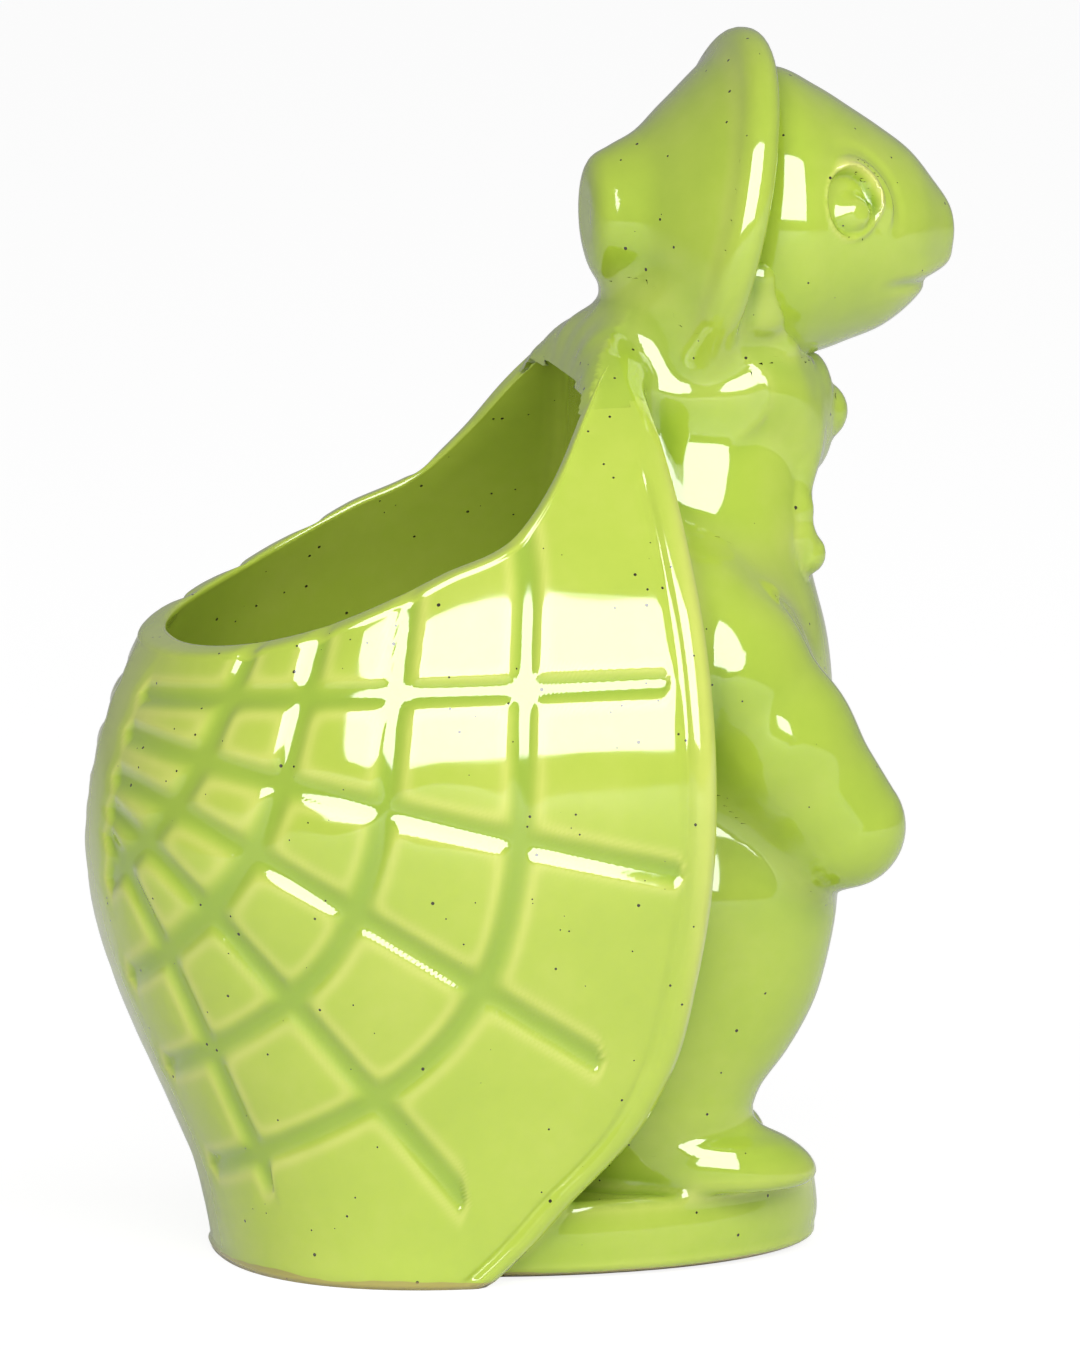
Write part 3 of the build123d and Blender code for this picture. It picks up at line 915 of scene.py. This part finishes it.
@dataclass(frozen=True)
class Face(Clay):
    """The head, with its eyes in sockets and its lids, meshed more finely."""

    low: Triple = (-23.0, -64.5, 124.5)
    high: Triple = (23.0, -23.0, 170.5)
    spacing: float = 0.5
    names: tuple[str, ...] = ("head", "eye_", "eyelid_")
    eye: Eye = Eye()
    droop: Rows = (
        (24.0, 0.0), (37.4, -0.2), (45.0, 0.8), (52.0, 1.9), (58.0, 2.1), (63.0, 2.7),
    )
    mouth_height: float = 138.2
    mouth_depth: float = 0.7
    lip_rise: float = 0.45
    skull: Lathe = Lathe(
        (
            (24.0, 4.2), (25.0, 8.8), (28.0, 15.4), (32.1, 19.6), (37.4, 21.0), (42.8, 19.0),
            (47.1, 16.9), (51.8, 14.4), (56.2, 11.1), (59.7, 7.0), (62.1, 3.8), (62.95, 0.9),
        ),
        147.6,
    )

    def plain(self, at: Places) -> Array:
        """Give the distance from the head without its eyes and mouth."""
        drop = SmoothTable(self.droop)(at.ahead)[..., 0]
        return self.skull.distance(Places(at.side, at.ahead, at.height + drop))

    def parts(self, at: Places) -> Array:
        """Give the depth in each named form, on a first axis, the head's as nought."""
        skull = self.plain(at)
        out, angle = self.eye.ring(at)
        near = np.where(at.side > 6, -3.2 - skull, 9.0)
        ball = np.maximum(self.eye.ball(at) - 1, near)
        lid = np.maximum(np.abs(out - 1.12) - 0.14, np.abs(angle - 45) / 90 - 0.8)
        lid = np.maximum(lid, near)
        return np.stack([np.zeros(skull.shape), ball, lid])

    def whole(self, at: Places) -> Array:
        """Give the distance from the blended lump."""
        head = self.plain(at) - self.eye.rise(at)
        front = smooth_step(50.0, 58.0, at.ahead)
        lip = np.exp(-(((at.height - self.mouth_height - 2.2) / 1.6) ** 2))
        line = at.height - self.mouth_height - 0.05 * (58 - at.ahead)
        groove = np.exp(-((line / 1.0) ** 2)) * smooth_step(48.5, 53.5, at.ahead)
        return head - self.lip_rise * lip * front + self.mouth_depth * groove


@dataclass
class Pot:
    """The open pot: the grooved shell outside, a plain wall inside and a foot ring."""

    form: ShellForm = field(default_factory=ShellForm)
    scutes: Scutes = field(default_factory=Scutes)
    wall: float = 4.0
    floor: float = 6.0
    recess: float = 1.6
    edge: float = 1.1
    edge_power: float = 0.6
    foot_rings: Rows = ((0.0, 1.0), (0.55, 1.0), (0.86, 1.0), (0.875, 0.0), (0.985, 0.0))
    foot_height: float = 0.9
    floor_shares: tuple[float, ...] = (0.93, 0.6, 0.3, 0.0)
    columns: int = 372
    rows: int = 188
    inner_rows: int = 14
    plain_probe: Pair = (0.2, 0.0004)
    fine_probe: Pair = (0.15, 0.0005)
    smooth_from: Pair = (112.0, 120.0)

    def rim_height(self, turns: Array, inset: float) -> Array:
        """Find the height at which each column of the wall meets the cut of the mouth."""
        low = np.full(turns.shape, 40.0)
        high = np.full(turns.shape, self.form.top)
        for _ in range(30):
            middle = (low + high) / 2
            depth = self.form.loop(middle, turns, inset)[..., 1]
            above = middle > SmoothTable(self.form.rim)(depth)[..., 0]
            high = np.where(above, middle, high)
            low = np.where(above, low, middle)
        return (low + high) / 2

    def turns(self) -> Array:
        """Give the columns' places round the shell, evenly over its middle level."""
        fine = np.linspace(0, 1, 4000)
        path = self.form.loop(np.full(fine.shape, 70.0), fine, 0.0)
        steps = np.linalg.norm(np.diff(path, axis=0), axis=1)
        weight = np.where(path[1:, 1] < -15.5, 0.35, 1.0) * steps
        total = np.concatenate([[0], np.cumsum(weight)])
        return np.interp(np.arange(self.columns) / self.columns * total[-1], total, fine)

    def rings(self) -> list[Array]:
        """Build the rings of the pot, from the foot, over the rim, to the floor."""
        turns = self.turns()
        top, inner_top = self.rim_height(turns, 0.0), self.rim_height(turns, self.wall)
        edge, lift = self.edge, np.array([0.0, 0.0, self.edge])
        rings = []
        bottom = self.form.loop(np.zeros(turns.shape), turns, 0.0)
        middle = np.array([0.0, 0.5 * (bottom[:, 1].min() + bottom[:, 1].max()), 0.0])
        for share, rise in self.foot_rings:
            height = rise * self.recess
            rings.append(middle + (bottom - middle) * [share, share, 1] + [0, 0, height])
        foot = self.foot_height
        rings.append(self.form.loop(np.full(turns.shape, foot), turns, 0.0))
        for row in range(1, self.rows + 1):
            rings.append(self.form.loop(foot + (top - edge - foot) * row / self.rows, turns, 0.0))
        outer = self.worked(top - edge, turns)[0]
        inner = self.form.loop(inner_top - edge, turns, self.wall)
        centre, arm = (outer + inner) / 2, (outer - inner) / 2
        for angle in np.radians(np.arange(15, 180, 15)):
            across = math.copysign(abs(math.cos(angle)) ** self.edge_power, math.cos(angle))
            rings.append(centre + arm * across + lift * math.sin(angle) ** self.edge_power)
        for row in range(self.inner_rows + 1):
            share = row / self.inner_rows
            start = inner_top - edge
            rings.append(self.form.loop(start + (self.floor - start) * share, turns, self.wall))
        base = rings[-1]
        for share in self.floor_shares:
            rings.append(middle + (base - middle) * [share, share, 1])
        return rings

    def plain_normals(self, height: Array, turns: Array) -> Array:
        """Give the outward normals of the plain shell."""
        loop, (rise, on) = self.form.loop, self.plain_probe
        up = loop(height + rise, turns, 0.0) - loop(height - rise, turns, 0.0)
        across = loop(height, turns + on, 0.0) - loop(height, turns - on, 0.0)
        normals = np.cross(up, across)
        return normals / np.maximum(np.linalg.norm(normals, axis=-1), 1e-9)[..., None]

    def worked(self, height: Array, turns: Array) -> tuple[Array, Array]:
        """Sink the grooves and the step of the lip into the plain shell.

        Args:
            height: the height of each point.
            turns: where each point stands on its level.

        Returns:
            The points on a last axis, and the gap of each to the nearest groove.
        """
        points = self.form.loop(height, turns, 0.0)
        normals = self.plain_normals(height, turns)
        gap = self.scutes.gap(points, normals)
        front = SmoothTable(self.form.levels)(height)[..., 2]
        behind = points[..., 1] + front
        sink = self.scutes.sink(gap) * self.scutes.past_lip(behind) + self.scutes.lip(behind)
        sink = sink * (1 - smooth_step(*self.smooth_from, height))
        return points - normals * sink[..., None], gap

    def skin(self) -> Skin:
        """Mesh the pot and sink its grooves, with the shading of the fine form."""
        grid = np.stack(self.rings())
        rows, columns = grid.shape[:2]
        turns = np.broadcast_to(self.turns(), (self.rows, columns))
        first = len(self.foot_rings) + 1
        span = slice(first, first + self.rows)
        height = grid[span, :, 2]
        grid[span], found = self.worked(height, turns)
        across = np.roll(grid, -1, axis=1) - np.roll(grid, 1, axis=1)
        normals = np.cross(np.gradient(grid, axis=0), across)
        rise, on = self.fine_probe
        step_up = self.worked(height + rise, turns)[0] - self.worked(height - rise, turns)[0]
        step_on = self.worked(height, turns + on)[0] - self.worked(height, turns - on)[0]
        normals[span] = np.cross(step_up, step_on)
        normals /= np.maximum(np.linalg.norm(normals, axis=-1), 1e-9)[..., None]
        index = np.arange(rows * columns).reshape(rows, columns)
        after = np.roll(index, -1, axis=1)
        faces = np.stack([index[:-1], after[:-1], after[1:], index[1:]], axis=-1).reshape(-1, 4)
        gap = np.full((rows, columns), 99.0)
        gap[span] = found
        lip = np.exp(-(((grid[..., 1] + 16.5) / 2.0) ** 2)) * (gap < 98)
        values = {
            "glaze_pool": 0.7 * np.exp(-((gap / 1.5) ** 3)).ravel(),
            "glaze_thin": np.clip(0.5 * np.exp(-(((gap - 2.6) / 0.8) ** 2)) + 0.5 * lip, 0, 1).ravel(),
        }
        return Skin("shell_pot", grid.reshape(-1, 3), faces[:, ::-1], normals.reshape(-1, 3), values)


# Finishes


def new_group(name: str, sockets: tuple[tuple[str, str, str, object], ...]) -> Tree:
    """Start a shader node group.

    Args:
        name: the group's name.
        sockets: name, INPUT or OUTPUT, socket type and default of each socket.

    Returns:
        The group, with its input and output nodes in place.
    """
    group = bpy.data.node_groups.new(name, "ShaderNodeTree")
    for label, way, kind, value in sockets:
        socket = group.interface.new_socket(label, in_out=way, socket_type=kind)
        if value is not None:
            socket.default_value = value
    group.nodes.new("NodeGroupInput").name = "in"
    group.nodes.new("NodeGroupOutput").name = "out"
    return group


def feed(tree: Tree, entry: Socket, value: object) -> None:
    """Link an input to an output, or set it to a plain value."""
    if isinstance(value, Socket):
        tree.links.new(value, entry)
    else:
        entry.default_value = value


def math_node(tree: Tree, kind: str, first: object, second: object) -> Socket:
    """Add a Math node and give its output."""
    node = tree.nodes.new("ShaderNodeMath")
    node.operation = kind
    feed(tree, node.inputs[0], first)
    feed(tree, node.inputs[1], second)
    return node.outputs[0]


def mix_colours(tree: Tree, share: object, first: object, second: object) -> Socket:
    """Add a Mix node for colours and give its output."""
    node = tree.nodes.new("ShaderNodeMix")
    node.data_type = "RGBA"
    for index, value in ((0, share), (6, first), (7, second)):
        feed(tree, node.inputs[index], value)
    return node.outputs[2]


def noise(tree: Tree, place: Socket, scale: float, detail: float) -> Socket:
    """Add a Noise texture and give its value."""
    node = tree.nodes.new("ShaderNodeTexNoise")
    node.inputs["Detail"].default_value = detail
    tree.links.new(place, node.inputs["Vector"])
    node.inputs["Scale"].default_value = scale
    return node.outputs["Fac"]


def use_group(tree: Tree, group: Tree, values: dict[str, object]) -> bpy.types.Node:
    """Add a node group, with its inputs linked or set."""
    node = tree.nodes.new("ShaderNodeGroup")
    node.node_tree = group
    for name, value in values.items():
        feed(tree, node.inputs[name], value)
    return node


def glaze_depth_group() -> Tree:
    """Colour a glaze by its depth: pooled in hollows, thin on edges, uneven between."""
    group = new_group("glaze_depth", (
        ("Place", "INPUT", "NodeSocketVector", None),
        ("Pool", "INPUT", "NodeSocketFloat", 0.0),
        ("Thin", "INPUT", "NodeSocketFloat", 0.0),
        ("Body", "INPUT", "NodeSocketColor", (0.5, 0.7, 0.1, 1)),
        ("Pooled", "INPUT", "NodeSocketColor", (0.3, 0.5, 0.1, 1)),
        ("Thinned", "INPUT", "NodeSocketColor", (0.8, 0.8, 0.3, 1)),
        ("Mottle", "INPUT", "NodeSocketFloat", 0.2),
        ("Color", "OUTPUT", "NodeSocketColor", None),
    ))
    inputs, out = group.nodes["in"].outputs, group.nodes["out"].inputs
    broad = noise(group, inputs["Place"], 45.0, 3.0)
    fine = noise(group, inputs["Place"], 420.0, 2.0)
    uneven = math_node(group, "MULTIPLY", math_node(group, "SUBTRACT", broad, 0.5), inputs["Mottle"])
    grain = math_node(group, "MULTIPLY", math_node(group, "SUBTRACT", fine, 0.5), 0.16)
    wander = math_node(group, "ADD", uneven, grain)
    pool = math_node(group, "ADD", inputs["Pool"], math_node(group, "MAXIMUM", wander, 0.0))
    thin = math_node(group, "SUBTRACT", inputs["Thin"], math_node(group, "MINIMUM", wander, 0.0))
    pool = math_node(group, "MINIMUM", math_node(group, "MAXIMUM", pool, 0.0), 1.0)
    thin = math_node(group, "MINIMUM", math_node(group, "MAXIMUM", thin, 0.0), 1.0)
    colour = mix_colours(group, thin, inputs["Body"], inputs["Thinned"])
    colour = mix_colours(group, pool, colour, inputs["Pooled"])
    group.links.new(colour, out["Color"])
    return group


def speck_group() -> Tree:
    """Scatter small dark kiln specks."""
    group = new_group("kiln_specks", (
        ("Place", "INPUT", "NodeSocketVector", None),
        ("Scale", "INPUT", "NodeSocketFloat", 500.0),
        ("Amount", "INPUT", "NodeSocketFloat", 0.1),
        ("Mask", "OUTPUT", "NodeSocketFloat", None),
    ))
    inputs, out = group.nodes["in"].outputs, group.nodes["out"].inputs
    cells = group.nodes.new("ShaderNodeTexVoronoi")
    group.links.new(inputs["Place"], cells.inputs["Vector"])
    group.links.new(inputs["Scale"], cells.inputs["Scale"])
    chosen = group.nodes.new("ShaderNodeSeparateColor")
    group.links.new(cells.outputs["Color"], chosen.inputs[0])
    rare = math_node(group, "LESS_THAN", chosen.outputs[0], inputs["Amount"])
    size = math_node(group, "MULTIPLY", chosen.outputs[1], 0.16)
    dot = math_node(group, "LESS_THAN", cells.outputs["Distance"], math_node(group, "ADD", size, 0.05))
    group.links.new(math_node(group, "MULTIPLY", rare, dot), out["Mask"])
    return group


@dataclass(frozen=True)
class Glaze:
    """A thick glossy glaze over pale clay."""

    name: str
    body: Triple
    pooled: Triple
    thinned: Triple
    mottle: float
    speck_amount: float
    speck: Triple = (0.035, 0.028, 0.012)
    # Colour of the painted contact shadow: a dark brown band drawn along the bottom edge, where the
    # planter meets the table.
    painted_shadow: Triple = (0.40, 0.27, 0.10)
    roughness: float = 0.07
    ior: float = 1.55
    coat: float = 0.6
    coat_roughness: float = 0.03
    # Half the height of the painted contact shadow band, in millimetres; the share below sets how
    # strongly the band covers the glaze.
    foot: float = 1.1
    painted_shadow_share: float = 0.7
    speck_scale: float = 760.0
    ripple_strength: float = 0.25
    ripple_depth: float = 0.0006

    def material(self, depth: Tree, specks: Tree) -> bpy.types.Material:
        """Build the finish.

        Args:
            depth: the group that colours the glaze by its depth.
            specks: the group that scatters specks.

        Returns:
            The material.
        """
        material = bpy.data.materials.new(self.name)
        material.use_nodes = True
        tree = material.node_tree
        shader = tree.nodes["Principled BSDF"]
        place = tree.nodes.new("ShaderNodeTexCoord").outputs["Object"]
        glaze = use_group(tree, depth, {
            "Place": place,
            "Pool": self.layer(tree, "glaze_pool"),
            "Thin": self.layer(tree, "glaze_thin"),
            "Body": (*self.body, 1),
            "Pooled": (*self.pooled, 1),
            "Thinned": (*self.thinned, 1),
            "Mottle": self.mottle,
        })
        dots = use_group(tree, specks, {
            "Place": place, "Scale": self.speck_scale, "Amount": self.speck_amount,
        })
        colour = mix_colours(tree, dots.outputs["Mask"], glaze.outputs["Color"], (*self.speck, 1))
        # Painted contact shadow: below a wavy line up to about two millimetres above the table, the
        # colour is mixed towards a dark brown.
        height = tree.nodes.new("ShaderNodeSeparateXYZ")
        tree.links.new(place, height.inputs[0])
        wavy = math_node(tree, "MULTIPLY", noise(tree, place, 60.0, 3.0), 2 * self.foot * MM)
        low = math_node(tree, "LESS_THAN", height.outputs["Z"], wavy)
        painted_shadow_mask = math_node(tree, "MULTIPLY", low, self.painted_shadow_share)
        colour = mix_colours(tree, painted_shadow_mask, colour, (*self.painted_shadow, 1))
        tree.links.new(colour, shader.inputs["Base Color"])
        shader.inputs["Roughness"].default_value = self.roughness
        shader.inputs["IOR"].default_value = self.ior
        shader.inputs["Coat Weight"].default_value = self.coat
        shader.inputs["Coat Roughness"].default_value = self.coat_roughness
        ripple = tree.nodes.new("ShaderNodeBump")
        ripple.inputs["Strength"].default_value = self.ripple_strength
        ripple.inputs["Distance"].default_value = self.ripple_depth
        tree.links.new(noise(tree, place, 90.0, 1.0), ripple.inputs["Height"])
        tree.links.new(ripple.outputs["Normal"], shader.inputs["Normal"])
        return material

    @staticmethod
    def layer(tree: Tree, name: str) -> Socket:
        """Read a value that the mesh carries."""
        node = tree.nodes.new("ShaderNodeAttribute")
        node.attribute_name = name
        return node.outputs["Fac"]


POT_GLAZE = Glaze(
    name="pot_glaze",
    body=(0.45, 0.57, 0.065),
    pooled=(0.27, 0.42, 0.035),
    thinned=(0.69, 0.71, 0.17),
    mottle=0.75,
    speck_amount=0.11,
)
FIGURE_GLAZE = Glaze(
    name="figure_glaze",
    body=(0.39, 0.52, 0.05),
    pooled=(0.18, 0.32, 0.02),
    thinned=(0.66, 0.69, 0.17),
    mottle=0.75,
    speck_amount=0.07,
)


# Table, lamps and view


@dataclass(frozen=True)
class Studio:
    """A white table, soft lamps and the photograph's view."""

    azimuth: float = 258.0
    elevation: float = 9.1
    pixels_per_mm: float = 7.003
    frame_width: float = 1080.0
    distance: float = 6000.0
    target_along: float = 2.70
    target_up: float = 81.4

    def axes(self) -> tuple[Vector, Vector, Vector]:
        """Give the view's directions: to the right, up and towards the camera."""
        turn, rise = math.radians(self.azimuth), math.radians(self.elevation)
        level = math.cos(rise)
        toward = Vector((math.sin(turn) * level, -math.cos(turn) * level, math.sin(rise)))
        right = Vector((math.cos(turn), math.sin(turn), 0.0))
        return right, toward.cross(right), toward

    def camera(self) -> None:
        """Set up the camera."""
        right, up, toward = self.axes()
        data = bpy.data.cameras.new("camera")
        data.sensor_fit = "HORIZONTAL"
        data.sensor_width = 36.0
        data.lens = self.pixels_per_mm * self.distance * data.sensor_width / self.frame_width
        data.clip_end = 10.0
        camera = bpy.data.objects.new("camera", data)
        target = (right * self.target_along + up * self.target_up) * MM
        camera.location = target + toward * (self.distance * MM)
        camera.rotation_euler = toward.to_track_quat("Z", "Y").to_euler()
        bpy.context.scene.collection.objects.link(camera)
        bpy.context.scene.camera = camera

    def lamp(self, name: str, direction: Triple, size: Pair, power: float) -> bpy.types.Object:
        """Add a soft rectangular lamp.

        Args:
            name: the lamp's name.
            direction: where it stands, in metres from the middle of the planter.
            size: its width and height in metres.
            power: its power in watts.

        Returns:
            The lamp.
        """
        data = bpy.data.lights.new(name, "AREA")
        data.shape = "RECTANGLE"
        data.size, data.size_y = size
        data.energy = power
        lamp = bpy.data.objects.new(name, data)
        middle = Vector((0, 0, 0.085))
        place = Vector(direction)
        lamp.location = middle + place
        lamp.rotation_euler = place.to_track_quat("Z", "Y").to_euler()
        bpy.context.scene.collection.objects.link(lamp)
        return lamp

    def window(self, direction: Triple, size: Pair, soft: float, bright: float) -> None:
        """Add a window that lights softly and shows brightly in the glaze.

        Args:
            direction: where it stands, in metres from the middle of the planter.
            size: its width and height in metres.
            soft: the power in watts of its light on the surfaces.
            bright: the power in watts of its reflection.
        """
        nearer = tuple(0.96 * value for value in direction)
        self.lamp("window_light", direction, size, soft).visible_glossy = False
        self.lamp("window_reflection", nearer, size, bright).visible_diffuse = False

    def world(self) -> None:
        """Light all round, and show plain white behind the planter."""
        world = bpy.data.worlds.new("room")
        bpy.context.scene.world = world
        world.use_nodes = True
        tree = world.node_tree
        back = tree.nodes["Background"]
        back.inputs["Color"].default_value = (1, 1, 1, 1)
        path = tree.nodes.new("ShaderNodeLightPath")
        seen = math_node(tree, "MULTIPLY", path.outputs["Is Camera Ray"], 0.68)
        level = math_node(tree, "ADD", 0.32, seen)
        tree.links.new(level, back.inputs["Strength"])

    def floor(self) -> None:
        """Lay the white table."""
        mesh = bpy.data.meshes.new("table")
        reach = 3.0
        corners = [(x * reach, y * reach, 0) for x, y in ((-1, -1), (1, -1), (1, 1), (-1, 1))]
        mesh.from_pydata(corners, [], [(0, 1, 2, 3)])
        table = add_object("table", mesh)
        material = bpy.data.materials.new("white_table")
        material.use_nodes = True
        tree = material.node_tree
        plain = tree.nodes["Principled BSDF"]
        path = tree.nodes.new("ShaderNodeLightPath")
        seen = path.outputs["Is Camera Ray"]
        colour = mix_colours(tree, seen, (0.86, 0.86, 0.86, 1), (0.22, 0.22, 0.22, 1))
        tree.links.new(colour, plain.inputs["Base Color"])
        plain.inputs["Emission Color"].default_value = (1, 1, 1, 1)
        tree.links.new(math_node(tree, "MULTIPLY", seen, 0.87), plain.inputs["Emission Strength"])
        plain.inputs["Roughness"].default_value = 1.0
        plain.inputs["Specular IOR Level"].default_value = 0.0
        mesh.materials.append(material)


def main() -> None:
    """Build the planter, report each piece and set up its view."""
    logging.basicConfig(level=logging.INFO, format="%(name)s: %(message)s")
    view = bpy.context.scene.view_settings
    view.view_transform = "Standard"
    depth, specks = glaze_depth_group(), speck_group()
    pot_material = POT_GLAZE.material(depth, specks)
    figure_material = FIGURE_GLAZE.material(depth, specks)
    Pot().skin().make(pot_material, ("shell_pot",))
    for clay in (Figure(), Face()):
        for skin in clay.skins():
            skin.make(figure_material, (skin.name,))
    studio = Studio()
    studio.camera()
    studio.floor()
    studio.world()
    studio.window((-1.06, 0.24, 0.63), (1.35, 1.12), 16.0, 42.0)
    studio.lamp("front_fill", (-0.5, -1.2, 0.7), (0.8, 0.8), 6.0).visible_glossy = False


def plain(bounds: object) -> list[list[float]]:
    """Give a box as plain lists of numbers."""
    return [[float(value) for value in corner] for corner in bounds]


if __name__ == "__main__":
    main()
